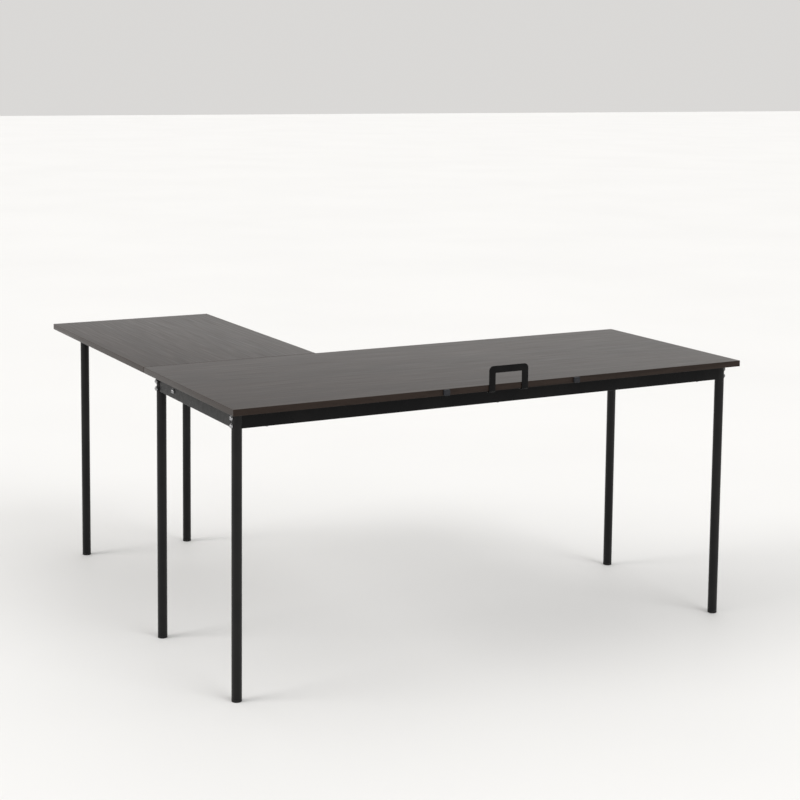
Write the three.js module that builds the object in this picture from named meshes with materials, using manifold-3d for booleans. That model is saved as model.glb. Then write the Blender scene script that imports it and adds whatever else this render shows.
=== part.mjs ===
// Corner desk: a main top on a bolted tube frame, and a return top on two legs of its own.
// Millimetres, +Z up. +X runs along the main top, +Y from the rear edge to the sitting side.
// The exported group's origin is on the floor, under the middle of the whole desk.

import * as THREE from "three";
import { mergeVertices } from "three/addons/utils/BufferGeometryUtils.js";
import Module from "manifold-3d";

// ---------------------------------------------------------------- driving dimensions

const deskHeight = 720;
const mainLength = 1500;
const mainDepth = 600;
const returnLength = 800;
const returnWidth = 500;
const topThickness = 16;
const topCornerRadius = 2;
const topEdgeEase = 0.8;
const seamGap = 0.5;
const smallestRadius = 0.2;

const legDiameter = 25.4;
const legWall = 1.5;
const mainLegFromEnd = 30;
const mainLegFromEdge = 50;
const returnLegFromSide = 85;

const railHeight = 40;
const railWidth = 20;
const railWall = 1.5;
const railCornerRadius = 2;

const footFlangeHeight = 6;
const footPlugLength = 24;
const footPlugWall = 2;
const turnedChamfer = 1;

const railClearance = 4;

const insertLength = 24;
const insertCornerRadius = 1;

const boltRadius = 3;
const boltHeadRadius = 5.5;
const boltHeadHeight = 3.3;
const boltCrownRadius = 3;
const boltShoulderRadius = 4.8;
const boltShoulderHeight = 2.1;
const boltFlangeRadius = 6.5;
const boltFlangeHeight = 1.2;
const boltFlangeEase = 0.3;
const boltSocketRadius = 2.3;
const boltSocketDepth = 2;
const boltSpacing = 19;
const boltAboveRailBottom = 6.8;
const boltShortOfInsertEnd = 2;

const screwRadius = 2;
const screwHeadRadius = 4;
const screwHeadHeight = 2.4;
const screwHeadEdge = 1.2;
const screwCrownRadius = 2.4;
const screwTipLength = 3;
const screwCover = 6;
const pilotBeyondTip = 2;
const railScrewFromEnd = 107;

const railBoltFromLeg = 113;
const railBoltLength = 14;

const legPlateSide = 70;
const legPlateScrewFromEdge = 9;
const legPlateFromEnd = 5;
const plateThickness = 3;
const plateCornerRadius = 6;

const joiningPlateWidth = 60;
const joiningPlateOnReturn = 64;
const joiningPlateScrewFromSide = 12;
const joiningPlateScrewFromEnd = 14;
const joiningPlateFromSide = 100;

const bracketWidth = 115;
const bracketBar = 18;
const bracketRise = 48;
const bracketThickness = 3;
const bracketOuterRadius = 12;
const bracketInnerRadius = 1;
const bracketScrewFromEdge = 18;

const edgeBlockWidth = 17;
const edgeBlockFromFaces = 0.5;
const edgeBlockDepth = 6;
const edgeBlockEase = 1.2;
const edgeBlockFromMiddle = { left: -181, right: 207 };

const fitGap = 0.3;
const roundSides = 24;
const boltSides = 12;
const holeSides = 8;
const socketSides = 6;

// ---------------------------------------------------------------- derived places

const undersideZ = deskHeight - topThickness;
const legRadius = legDiameter / 2;
const legInnerRadius = legRadius - legWall;
const railCentreZ = undersideZ - fitGap - railHeight / 2;
const railBottomZ = railCentreZ - railHeight / 2;
const boltZ = {
  upper: railBottomZ + boltAboveRailBottom + boltSpacing,
  lower: railBottomZ + boltAboveRailBottom,
};
const returnStartY = mainDepth + seamGap;
const totalDepth = returnStartY + returnLength;
const rearProud = Math.max(edgeBlockDepth, bracketThickness) + fitGap;
const railFaceFromEdge = mainLegFromEdge - railWidth / 2;
const screwBite = topThickness - screwCover;
const pilotRadius = screwRadius + fitGap;
const boltHoleRadius = boltRadius + fitGap;

const mainLegX = { left: mainLegFromEnd, right: mainLength - mainLegFromEnd };
const mainLegY = { rear: mainLegFromEdge, front: mainDepth - mainLegFromEdge };
const returnLegX = { left: returnLegFromSide, right: returnWidth - returnLegFromSide };
const returnLegY = totalDepth - legPlateFromEnd - legPlateSide / 2;
const railScrewX = [railScrewFromEnd, mainLength / 2, mainLength - railScrewFromEnd];
const railBoltY = mainLegY.front - railBoltFromLeg;
const joiningPlateX = { left: joiningPlateFromSide, right: returnWidth - joiningPlateFromSide };
const joiningPlateOnMain = railFaceFromEdge - railClearance;
const joiningPlateLength = joiningPlateOnMain + joiningPlateOnReturn;
const joiningPlateY = mainDepth - joiningPlateOnMain + joiningPlateLength / 2;

// ---------------------------------------------------------------- finishes

const finishes = {
  laminate: new THREE.MeshStandardMaterial({ color: 0x2e2624, roughness: 0.45, metalness: 0 }),
  powderCoat: new THREE.MeshStandardMaterial({ color: 0x101011, roughness: 0.42, metalness: 0.2 }),
  steel: new THREE.MeshStandardMaterial({ color: 0x6b6b6d, roughness: 0.3, metalness: 1 }),
  blackPlastic: new THREE.MeshStandardMaterial({ color: 0x0c0c0d, roughness: 0.55, metalness: 0 }),
  greyPlastic: new THREE.MeshStandardMaterial({ color: 0x33343a, roughness: 0.5, metalness: 0 }),
};

// ---------------------------------------------------------------- shape helpers

const wasm = await Module();
wasm.setup();

/** A closed geometry as a solid that can be cut and joined. */
function toSolid(geometry) {
  const bare = geometry.clone();
  bare.deleteAttribute("normal");
  bare.deleteAttribute("uv");
  const merged = mergeVertices(bare, 1e-4);
  const vertProperties = merged.attributes.position.array;
  const triVerts = new Uint32Array(merged.index.array);
  return new wasm.Manifold(new wasm.Mesh({ numProp: 3, vertProperties, triVerts }));
}

/** A solid as a geometry with flat-shaded normals. */
function toGeometry(solid) {
  const { vertProperties, triVerts } = solid.getMesh();
  const geometry = new THREE.BufferGeometry();
  geometry.setAttribute("position", new THREE.BufferAttribute(vertProperties, 3));
  geometry.setIndex(new THREE.BufferAttribute(triVerts, 1));
  const faceted = geometry.toNonIndexed();
  faceted.computeVertexNormals();
  return faceted;
}

/** The body with every tool taken out of it. */
function cut(body, tools) {
  const left = tools.reduce((solid, tool) => solid.subtract(toSolid(tool)), toSolid(body));
  return toGeometry(left);
}

/** Two touching bodies as one. */
function join(first, second) {
  return toGeometry(toSolid(first).add(toSolid(second)));
}

/** A body turned about +Z; the profile lists [radius, z] from the axis round to the axis. */
function turned(profile, sides) {
  const points = profile.map(([radius, z]) => new THREE.Vector2(radius, z));
  return new THREE.LatheGeometry(points, sides).rotateX(Math.PI / 2);
}

/** A plain round rod along +Z from z0 to z1. */
function rod(radius, z0, z1, sides = holeSides) {
  return turned([[0, z0], [radius, z0], [radius, z1], [0, z1]], sides);
}

/** A rectangle about the origin with round corners, as an outline. */
function roundedRectangle(width, height, radius, Outline = THREE.Shape) {
  const x = width / 2;
  const y = height / 2;
  const outline = new Outline();
  outline.moveTo(x, radius - y);
  outline.absarc(x - radius, y - radius, radius, 0, Math.PI / 2);
  outline.absarc(radius - x, y - radius, radius, Math.PI / 2, Math.PI);
  outline.absarc(radius - x, radius - y, radius, Math.PI, 1.5 * Math.PI);
  outline.absarc(x - radius, radius - y, radius, 1.5 * Math.PI, 2 * Math.PI);
  outline.closePath();
  return outline;
}

/** An outline pulled up from z = 0; each arc in it gets twice the given number of steps. */
function raised(outline, height, curveSegments = 1) {
  return new THREE.ExtrudeGeometry(outline, { depth: height, bevelEnabled: false, curveSegments });
}

/** A rounded slab about the origin, from z = 0 up, with its long edges eased. */
function easedSlab(width, height, thickness, radius, ease) {
  const corner = Math.max(radius - ease, smallestRadius);
  const outline = roundedRectangle(width - 2 * ease, height - 2 * ease, corner);
  const slab = new THREE.ExtrudeGeometry(outline, {
    depth: thickness - 2 * ease,
    bevelThickness: ease,
    bevelSize: ease,
    bevelSegments: 1,
    curveSegments: 1,
  });
  return slab.translate(0, 0, ease);
}

// ---------------------------------------------------------------- pieces

/** A top, cornered at the origin, with a pilot hole in its underside at each [x, y]. */
function top(width, depth, pilots) {
  const board = easedSlab(width, depth, topThickness, topCornerRadius, topEdgeEase);
  board.translate(width / 2, depth / 2, 0);
  const holes = pilots.map(([x, y]) =>
    rod(pilotRadius, -topThickness, screwBite + pilotBeyondTip).translate(x, y, 0),
  );
  return cut(board, holes);
}

/** A round tube standing on z = 0; crossings lists the heights of the bolts along X. */
function leg(length, crossings = []) {
  const wall = new THREE.Shape().absarc(0, 0, legRadius, 0, 2 * Math.PI);
  wall.holes.push(new THREE.Path().absarc(0, 0, legInnerRadius, 0, 2 * Math.PI));
  const tube = raised(wall, length, roundSides / 2);
  const holes = crossings.map((z) =>
    rod(boltHoleRadius, -legDiameter, legDiameter).rotateY(Math.PI / 2).translate(0, 0, z),
  );
  return cut(tube, holes);
}

/** A push-in foot: a flange under the tube and a hollow plug inside it. */
function footCap() {
  const plugRadius = legInnerRadius - fitGap;
  const plugTop = footFlangeHeight + footPlugLength;
  const profile = [
    [0, 0],
    [legRadius - turnedChamfer, 0],
    [legRadius, turnedChamfer],
    [legRadius, footFlangeHeight],
    [plugRadius, footFlangeHeight],
    [plugRadius, plugTop - 2 * turnedChamfer],
    [plugRadius - turnedChamfer, plugTop],
    [plugRadius - footPlugWall, plugTop],
    [plugRadius - footPlugWall, footFlangeHeight],
    [0, footFlangeHeight],
  ];
  return turned(profile, roundSides);
}

/**
 * A rectangular tube along X about the origin, hollowed at both ends to sit round two legs whose
 * axes are the span apart. Its ends stop short of those axes by the setback. It is drilled upright
 * at each screwX and, on its +Y side, at each boltX.
 */
function rail(span, setback, screwX = [], boltX = []) {
  const wall = roundedRectangle(railWidth, railHeight, railCornerRadius);
  const inner = Math.max(railCornerRadius - railWall, smallestRadius);
  const bore = roundedRectangle(railWidth - 2 * railWall, railHeight - 2 * railWall, inner, THREE.Path);
  wall.holes.push(bore);
  const length = span - 2 * setback;
  const tube = raised(wall, length).translate(0, 0, -length / 2);
  tube.rotateX(Math.PI / 2).rotateZ(Math.PI / 2);
  const copes = [-span / 2, span / 2].map((x) =>
    rod(legRadius + fitGap, -railHeight, railHeight, roundSides).translate(x, 0, 0),
  );
  const drilled = screwX.map((x) => rod(pilotRadius, -railHeight, railHeight).translate(x, 0, 0));
  const tapped = boltX.map((x) =>
    rod(boltHoleRadius, 0, railWidth).rotateX(-Math.PI / 2).translate(x, 0, 0),
  );
  return cut(tube, [...copes, ...drilled, ...tapped]);
}

/** A threaded block inside a rail's end, along +X from the origin, with both bolt holes. */
function railInsert() {
  const play = 2 * (railWall + fitGap);
  const outline = roundedRectangle(railWidth - play, railHeight - play, insertCornerRadius);
  const block = raised(outline, insertLength).rotateX(Math.PI / 2).rotateZ(Math.PI / 2);
  const holes = Object.values(boltZ).map((z) =>
    rod(boltHoleRadius, -insertLength, 2 * insertLength)
      .rotateY(Math.PI / 2)
      .translate(0, 0, z - railCentreZ),
  );
  return cut(block, holes);
}

/** A flanged button-head bolt: its head is under z = 0 and its shank runs up +Z. */
function bolt(length) {
  const headFoot = -boltFlangeHeight - boltHeadHeight;
  const profile = [
    [0, headFoot],
    [boltCrownRadius, headFoot],
    [boltShoulderRadius, -boltFlangeHeight - boltShoulderHeight],
    [boltHeadRadius, -boltFlangeHeight],
    [boltFlangeRadius, boltFlangeEase - boltFlangeHeight],
    [boltFlangeRadius, 0],
    [boltRadius, 0],
    [boltRadius, length - turnedChamfer],
    [boltRadius - turnedChamfer, length],
    [0, length],
  ];
  const socket = rod(boltSocketRadius, 2 * headFoot, headFoot + boltSocketDepth, socketSides);
  return cut(turned(profile, boltSides), [socket]);
}

/** A pan-head wood screw: its head is under z = 0 and its point is up +Z. */
function screw(length) {
  const profile = [
    [0, -screwHeadHeight],
    [screwCrownRadius, -screwHeadHeight],
    [screwHeadRadius, -screwHeadEdge],
    [screwHeadRadius, 0],
    [screwRadius, 0],
    [screwRadius, length - screwTipLength],
    [0, length],
  ];
  return turned(profile, holeSides);
}

/** A flat steel plate with a rounded outline about the origin and a hole at each [x, y]. */
function drilledPlate(width, height, holes) {
  const plate = raised(roundedRectangle(width, height, plateCornerRadius), plateThickness);
  const drills = holes.map(([x, y]) =>
    rod(pilotRadius, -plateThickness, 2 * plateThickness).translate(x, y, 0),
  );
  return cut(plate, drills);
}

/** The cable bracket: an upside-down U behind the edge, with two feet that turn in under the top. */
function cableBracket() {
  const x = bracketWidth / 2;
  const footReach = railFaceFromEdge - railClearance + fitGap;
  const footLength = footReach + bracketThickness;
  const innerX = x - bracketBar;
  const crown = topThickness + bracketRise;
  const innerCrown = crown - bracketBar;
  const outline = new THREE.Shape();
  outline.moveTo(-x, -bracketThickness);
  outline.lineTo(-innerX, -bracketThickness);
  outline.lineTo(-innerX, innerCrown - bracketInnerRadius);
  outline.lineTo(bracketInnerRadius - innerX, innerCrown);
  outline.lineTo(innerX - bracketInnerRadius, innerCrown);
  outline.lineTo(innerX, innerCrown - bracketInnerRadius);
  outline.lineTo(innerX, -bracketThickness);
  outline.lineTo(x, -bracketThickness);
  outline.lineTo(x, crown - bracketOuterRadius);
  outline.absarc(x - bracketOuterRadius, crown - bracketOuterRadius, bracketOuterRadius, 0, Math.PI / 2);
  outline.absarc(
    bracketOuterRadius - x,
    crown - bracketOuterRadius,
    bracketOuterRadius,
    Math.PI / 2,
    Math.PI,
  );
  outline.closePath();
  const upright = raised(outline, bracketThickness, 3).rotateX(Math.PI / 2);
  const feet = [-1, 1].map((side) => {
    const centreX = side * (x - bracketBar / 2);
    const foot = new THREE.BoxGeometry(bracketBar, footLength, bracketThickness);
    foot.translate(centreX, footReach - footLength / 2, -bracketThickness / 2);
    const hole = rod(pilotRadius, -2 * bracketThickness, bracketThickness);
    return cut(foot, [hole.translate(centreX, bracketScrewFromEdge + fitGap, 0)]);
  });
  return feet.reduce((body, foot) => join(body, foot), upright);
}

/** A small moulded block: its inner face on y = 0, its body at -Y, about the origin in X and Z. */
function edgeBlock() {
  const height = topThickness - 2 * edgeBlockFromFaces;
  const block = easedSlab(edgeBlockWidth, height, edgeBlockDepth, 2 * edgeBlockEase, edgeBlockEase);
  return block.rotateX(Math.PI / 2);
}

// ---------------------------------------------------------------- screw places

const railScrewPlaces = Object.values(mainLegY).flatMap((y) => railScrewX.map((x) => [x, y]));

const bracketScrewPlaces = [-1, 1].map((side) => [
  mainLength / 2 + side * (bracketWidth - bracketBar) / 2,
  bracketScrewFromEdge,
]);

/** The four screw places of a plate, about its centre. */
function cornerPlaces(width, height, fromSide, fromEnd) {
  const x = width / 2 - fromSide;
  const y = height / 2 - fromEnd;
  return [[-x, -y], [x, -y], [x, y], [-x, y]];
}

const joiningHoles = cornerPlaces(
  joiningPlateWidth,
  joiningPlateLength,
  joiningPlateScrewFromSide,
  joiningPlateScrewFromEnd,
);
const legPlateHoles = cornerPlaces(
  legPlateSide,
  legPlateSide,
  legPlateScrewFromEdge,
  legPlateScrewFromEdge,
);

const joiningPlaces = Object.values(joiningPlateX).flatMap((centreX) =>
  joiningHoles.map(([x, y]) => [centreX + x, joiningPlateY + y]),
);
const legPlatePlaces = Object.values(returnLegX).flatMap((centreX) =>
  legPlateHoles.map(([x, y]) => [centreX + x, returnLegY + y]),
);

// ---------------------------------------------------------------- assembly

/** Adds a named mesh to a parent at a place. */
function place(parent, name, geometry, finish, x, y, z) {
  const mesh = new THREE.Mesh(geometry, finish);
  mesh.name = name;
  mesh.position.set(x, y, z);
  parent.add(mesh);
  return mesh;
}

/** Both tops. */
function tops() {
  const group = new THREE.Group();
  const mainPilots = [
    ...railScrewPlaces,
    ...bracketScrewPlaces,
    ...joiningPlaces.filter(([, y]) => y < mainDepth),
  ];
  const returnPilots = [...legPlatePlaces, ...joiningPlaces.filter(([, y]) => y > returnStartY)];
  const onReturn = returnPilots.map(([x, y]) => [x, y - returnStartY]);
  const mainTop = top(mainLength, mainDepth, mainPilots);
  const returnTop = top(returnWidth, returnLength, onReturn);
  place(group, "main_top", mainTop, finishes.laminate, 0, 0, undersideZ);
  place(group, "return_top", returnTop, finishes.laminate, 0, returnStartY, undersideZ);
  return group;
}

/** The frame under the main top: four legs, four rails, and the bolts that hold them. */
function mainFrame() {
  const group = new THREE.Group();
  const legBottom = footFlangeHeight + fitGap;
  const crossings = Object.values(boltZ).map((z) => z - legBottom);
  const boltLength = legDiameter + 3 * fitGap + insertLength - boltShortOfInsertEnd;
  for (const [sideY, y] of Object.entries(mainLegY)) {
    for (const [sideX, x] of Object.entries(mainLegX)) {
      const where = `${sideY}_${sideX}`;
      const inward = sideX === "left" ? 1 : -1;
      const tube = leg(undersideZ - fitGap - legBottom, crossings);
      place(group, `main_leg_${where}`, tube, finishes.powderCoat, x, y, legBottom);
      place(group, `foot_cap_${where}`, footCap(), finishes.blackPlastic, x, y, 0);
      const insertX = x + inward * (legRadius + 2 * fitGap);
      const insert = place(
        group, `rail_insert_${where}`, railInsert(), finishes.steel, insertX, y, railCentreZ,
      );
      insert.rotation.z = inward > 0 ? 0 : Math.PI;
      for (const [level, z] of Object.entries(boltZ)) {
        const headX = x - inward * (legRadius + fitGap);
        const fastener = place(
          group, `leg_bolt_${where}_${level}`, bolt(boltLength), finishes.steel, headX, y, z,
        );
        fastener.rotation.y = inward * Math.PI / 2;
      }
    }
    const screwX = railScrewX.map((x) => x - mainLength / 2);
    const longRail = rail(mainLegX.right - mainLegX.left, 0, screwX);
    place(group, `${sideY}_rail`, longRail, finishes.powderCoat, mainLength / 2, y, railCentreZ);
    railScrewX.forEach((x, index) => {
      const fastener = screw(railHeight + 2 * fitGap + screwBite);
      const name = `${sideY}_rail_screw_${index + 1}`;
      place(group, name, fastener, finishes.steel, x, y, railBottomZ - fitGap);
    });
  }
  const middleY = mainDepth / 2;
  for (const [sideX, x] of Object.entries(mainLegX)) {
    const boltX = sideX === "left" ? [railBoltY - middleY] : [];
    const shortRail = rail(mainLegY.front - mainLegY.rear, railWidth / 2 + fitGap, [], boltX);
    const mesh = place(
      group, `${sideX}_rail`, shortRail, finishes.powderCoat, x, middleY, railCentreZ,
    );
    mesh.rotation.z = Math.PI / 2;
  }
  const railBoltX = mainLegX.left - railWidth / 2 - fitGap;
  const railBolt = place(
    group, "left_rail_bolt", bolt(railBoltLength), finishes.steel, railBoltX, railBoltY, railCentreZ,
  );
  railBolt.rotation.y = Math.PI / 2;
  return group;
}

/** The return's two legs, each under a plate that is screwed to the return top. */
function returnLegs() {
  const group = new THREE.Group();
  const plateZ = undersideZ - fitGap - plateThickness;
  const legBottom = footFlangeHeight + fitGap;
  for (const [side, x] of Object.entries(returnLegX)) {
    const plate = drilledPlate(legPlateSide, legPlateSide, legPlateHoles);
    place(group, `leg_plate_${side}`, plate, finishes.powderCoat, x, returnLegY, plateZ);
    const tube = leg(plateZ - fitGap - legBottom);
    place(group, `return_leg_${side}`, tube, finishes.powderCoat, x, returnLegY, legBottom);
    place(group, `foot_cap_return_${side}`, footCap(), finishes.blackPlastic, x, returnLegY, 0);
    plateScrews(group, `leg_plate_${side}_screw`, legPlateHoles, x, returnLegY);
  }
  return group;
}

/** The two plates that tie the return top to the main top. */
function joiningPlates() {
  const group = new THREE.Group();
  const plateZ = undersideZ - fitGap - plateThickness;
  for (const [side, x] of Object.entries(joiningPlateX)) {
    const plate = drilledPlate(joiningPlateWidth, joiningPlateLength, joiningHoles);
    place(group, `joining_plate_${side}`, plate, finishes.powderCoat, x, joiningPlateY, plateZ);
    plateScrews(group, `joining_plate_${side}_screw`, joiningHoles, x, joiningPlateY);
  }
  return group;
}

/** A numbered screw up through each hole of a plate that lies under a top. */
function plateScrews(group, name, holes, centreX, centreY) {
  const z = undersideZ - plateThickness - 2 * fitGap;
  holes.forEach(([x, y], index) => {
    const fastener = screw(plateThickness + 2 * fitGap + screwBite);
    place(group, `${name}_${index + 1}`, fastener, finishes.steel, centreX + x, centreY + y, z);
  });
}

/** What is fixed to the rear edge: the cable bracket and two small blocks. */
function rearEdgeFittings() {
  const group = new THREE.Group();
  const bracket = cableBracket();
  const z = undersideZ - fitGap;
  place(group, "cable_bracket", bracket, finishes.powderCoat, mainLength / 2, -fitGap, z);
  const blockZ = deskHeight - topThickness / 2;
  for (const [side, fromMiddle] of Object.entries(edgeBlockFromMiddle)) {
    const x = mainLength / 2 + fromMiddle;
    place(group, `edge_block_${side}`, edgeBlock(), finishes.greyPlastic, x, -fitGap, blockZ);
  }
  return group;
}

const desk = new THREE.Group();
desk.add(tops(), mainFrame(), returnLegs(), joiningPlates(), rearEdgeFittings());
desk.position.set(-mainLength / 2, (rearProud - totalDepth) / 2, 0);

const root = new THREE.Group();
root.add(desk);

export default root;
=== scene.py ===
"""Corner desk: two dark wood-effect tops on slim black tube legs, dressed for a studio picture.

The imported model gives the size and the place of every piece. Each class below is one
sub-assembly that builds its own meshes on those places and dresses them.

Lengths are metres. +X runs along the main top, +Y from its rear edge to the sitting side,
and +Z is up. The origin is on the floor, under the middle of the desk.
"""

import functools
import logging
import math
import random
from collections.abc import Callable, Iterable, Sequence
from dataclasses import dataclass, field, replace
from enum import Enum
from typing import Protocol

import bmesh
import bpy
from mathutils import Matrix, Vector


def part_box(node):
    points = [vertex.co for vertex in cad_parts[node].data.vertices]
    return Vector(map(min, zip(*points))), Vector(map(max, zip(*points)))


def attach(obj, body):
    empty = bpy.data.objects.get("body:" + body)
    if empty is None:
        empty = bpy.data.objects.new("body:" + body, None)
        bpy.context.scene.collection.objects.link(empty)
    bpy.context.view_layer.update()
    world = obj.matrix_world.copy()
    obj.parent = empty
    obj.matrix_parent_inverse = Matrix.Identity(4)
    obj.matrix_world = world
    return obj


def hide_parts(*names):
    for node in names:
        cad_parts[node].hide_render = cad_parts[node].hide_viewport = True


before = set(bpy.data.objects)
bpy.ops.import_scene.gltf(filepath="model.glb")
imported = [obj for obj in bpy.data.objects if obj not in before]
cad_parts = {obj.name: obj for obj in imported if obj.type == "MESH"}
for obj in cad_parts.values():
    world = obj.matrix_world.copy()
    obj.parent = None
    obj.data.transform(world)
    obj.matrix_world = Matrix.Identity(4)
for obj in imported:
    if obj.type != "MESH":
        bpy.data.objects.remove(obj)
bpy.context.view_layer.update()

LOG = logging.getLogger("corner_desk")
BODY = "root"
FIT_GAP = 0.0003

Colour = tuple[float, float, float]
Range = tuple[float, float]
Ring = list[Vector]

UP = Vector((0.0, 0.0, 1.0)).freeze()

# Finishes: the coatings' refraction, the part of a noise that varies the gloss, and how a rounded
# normal is told from a flat one, as the cosine where an edge begins and where it is full.
COATING_IOR = 1.5
NOISE_READS: Range = (0.3, 0.7)
EDGE_SAMPLES = 4
EDGE_LIKENESS: Range = (0.985, 0.9)

# The least radius that easing leaves a slab's corner, as a share of its full radius.
LEAST_CORNER_SHARE = 0.1

# Weld beads: the sides of their section, how far the ripple turns at each step in radians, the
# share of the ripple that chance adds or takes, and how thin the ends are.
BEAD_SIDES = 8
BEAD_WAVE = 1.9
BEAD_CHANCE = 0.3
BEAD_END_SHARE = 0.35


class Slot(Enum):
    """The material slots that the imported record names."""

    LAMINATE = "laminate_top"
    POWDER_COAT = "powder_coat"
    PLATED_STEEL = "plated_steel"
    FOOT_PLASTIC = "foot_plastic"
    BLOCK_PLASTIC = "block_plastic"


class Axis(Enum):
    """A horizontal direction of the desk, as its unit vector's X and Y."""

    X = (1.0, 0.0)
    Y = (0.0, 1.0)

    @property
    def forward(self) -> Vector:
        """The direction itself."""
        return Vector((*self.value, 0.0))

    @property
    def across(self) -> Vector:
        """The horizontal direction a quarter turn to its left."""
        return Vector((-self.value[1], self.value[0], 0.0))


class Recess(Enum):
    """The drive that is sunk into a fastener's head."""

    HEXAGON = "hexagon"
    CROSS = "cross"


# ------------------------------------------------------------------ finishes


@dataclass(frozen=True)
class Pattern:
    """A noise: its features in a metre, its finer layers and their strength, and its distortion.

    The stretch is the factor that places are scaled by along X, Y and Z before they are read.
    """

    scale: float
    detail: float
    harshness: float
    distortion: float = 0.0
    stretch: tuple[float, float, float] | None = None


class NodeSheet:
    """A new material's node tree, with a short call for each node that finishes share."""

    def __init__(self, name: str) -> None:
        """Makes the material with its one shader.

        Args:
            name: what the material is called.
        """
        self.material = bpy.data.materials.new(name)
        self.material.use_nodes = True
        self.tree = self.material.node_tree
        self.shader = self.tree.nodes["Principled BSDF"]
        self.places = self.tree.nodes.new("ShaderNodeTexCoord").outputs["Object"]

    def set(self, **values: float) -> None:
        """Sets the shader's own sockets.

        Args:
            values: a number for each socket, its name in lower case with underscores.
        """
        for name, value in values.items():
            socket = name.replace("_", " ").title().replace("Ior", "IOR")
            self.shader.inputs[socket].default_value = value

    def feed(self, socket: str, source: bpy.types.NodeSocket) -> None:
        """Links an output to one of the shader's sockets."""
        self.tree.links.new(source, self.shader.inputs[socket])

    def stretched(self, scale: Sequence[float], turn: float) -> bpy.types.NodeSocket:
        """Places on the object, scaled along each axis.

        Args:
            scale: the factor along X, Y and Z.
            turn: a turn about Z before the scaling, in radians.

        Returns:
            The scaled coordinates.
        """
        turned = self.tree.nodes.new("ShaderNodeMapping")
        turned.inputs["Rotation"].default_value = (0.0, 0.0, turn)
        self.tree.links.new(self.places, turned.inputs["Vector"])
        scaled = self.tree.nodes.new("ShaderNodeMapping")
        scaled.inputs["Scale"].default_value = tuple(scale)
        self.tree.links.new(turned.outputs["Vector"], scaled.inputs["Vector"])
        return scaled.outputs["Vector"]

    def noise(self, pattern: Pattern, turn: float = 0.0) -> bpy.types.NodeSocket:
        """A noise from 0 to 1 over the object.

        Args:
            pattern: how the noise looks.
            turn: a turn of the pattern about Z, in radians.

        Returns:
            The noise value.
        """
        node = self.tree.nodes.new("ShaderNodeTexNoise")
        node.inputs["Scale"].default_value = pattern.scale
        node.inputs["Detail"].default_value = pattern.detail
        node.inputs["Roughness"].default_value = pattern.harshness
        node.inputs["Distortion"].default_value = pattern.distortion
        places = self.stretched(pattern.stretch, turn) if pattern.stretch else self.places
        self.tree.links.new(places, node.inputs["Vector"])
        return node.outputs["Fac"]

    def spread(
        self, value: bpy.types.NodeSocket, reads: Range, gives: Range = (0.0, 1.0)
    ) -> bpy.types.NodeSocket:
        """Maps one range of a value to another, clamped at its ends.

        Args:
            value: the value to map.
            reads: the low and high end that are read.
            gives: what those ends become.

        Returns:
            The mapped value.
        """
        node = self.tree.nodes.new("ShaderNodeMapRange")
        ends = {"From Min": reads[0], "From Max": reads[1], "To Min": gives[0], "To Max": gives[1]}
        for name, end in ends.items():
            node.inputs[name].default_value = end
        self.tree.links.new(value, node.inputs["Value"])
        return node.outputs["Result"]

    def contours(self, value: bpy.types.NodeSocket, count: float) -> bpy.types.NodeSocket:
        """Soft lines where a value passes equal steps, as growth rings do on a sawn board.

        Args:
            value: the value that is cut into steps.
            count: how many lines one unit of it gives.

        Returns:
            A wave from 0 to 1.
        """
        angle = self.tree.nodes.new("ShaderNodeMath")
        angle.operation = "MULTIPLY"
        angle.inputs[1].default_value = 2 * math.pi * count
        self.tree.links.new(value, angle.inputs[0])
        wave = self.tree.nodes.new("ShaderNodeMath")
        wave.operation = "SINE"
        self.tree.links.new(angle.outputs[0], wave.inputs[0])
        return self.spread(wave.outputs[0], (-1.0, 1.0))

    def edges(self, reach: float, patchiness: bpy.types.NodeSocket) -> bpy.types.NodeSocket:
        """A mask of the outer and inner edges, broken up by a pattern.

        Args:
            reach: how far from an edge the mask goes, in metres.
            patchiness: the pattern that it is multiplied by.

        Returns:
            The mask, 1 on an edge.
        """
        rounded = self.tree.nodes.new("ShaderNodeBevel")
        rounded.samples = EDGE_SAMPLES
        rounded.inputs["Radius"].default_value = reach
        surface = self.tree.nodes.new("ShaderNodeNewGeometry")
        likeness = self.tree.nodes.new("ShaderNodeVectorMath")
        likeness.operation = "DOT_PRODUCT"
        self.tree.links.new(rounded.outputs["Normal"], likeness.inputs[0])
        self.tree.links.new(surface.outputs["Normal"], likeness.inputs[1])
        near = self.spread(likeness.outputs["Value"], EDGE_LIKENESS)
        broken = self.tree.nodes.new("ShaderNodeMath")
        broken.operation = "MULTIPLY"
        self.tree.links.new(near, broken.inputs[0])
        self.tree.links.new(patchiness, broken.inputs[1])
        return broken.outputs[0]

    def blend(
        self, factor: bpy.types.NodeSocket, first: "Colour | bpy.types.NodeSocket", second: Colour
    ) -> bpy.types.NodeSocket:
        """Mixes towards a second colour where the factor is high.

        Args:
            factor: the share of the second colour, from 0 to 1.
            first: the colour, or the output that gives it, where the factor is 0.
            second: the colour where the factor is 1.

        Returns:
            The mixed colour.
        """
        node = self.tree.nodes.new("ShaderNodeMix")
        node.data_type = "RGBA"
        self.tree.links.new(factor, node.inputs["Factor"])
        if isinstance(first, tuple):
            node.inputs["A"].default_value = (*first, 1.0)
        else:
            self.tree.links.new(first, node.inputs["A"])
        node.inputs["B"].default_value = (*second, 1.0)
        return node.outputs["Result"]

    def bump(self, *layers: tuple[bpy.types.NodeSocket, float]) -> None:
        """Roughens the shader's normal by one or more height maps.

        Args:
            layers: each height map with its full height in metres.
        """
        normal = None
        for height, depth in layers:
            node = self.tree.nodes.new("ShaderNodeBump")
            node.inputs["Distance"].default_value = depth
            self.tree.links.new(height, node.inputs["Height"])
            if normal is not None:
                self.tree.links.new(normal, node.inputs["Normal"])
            normal = node.outputs["Normal"]
        self.feed("Normal", normal)


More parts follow.
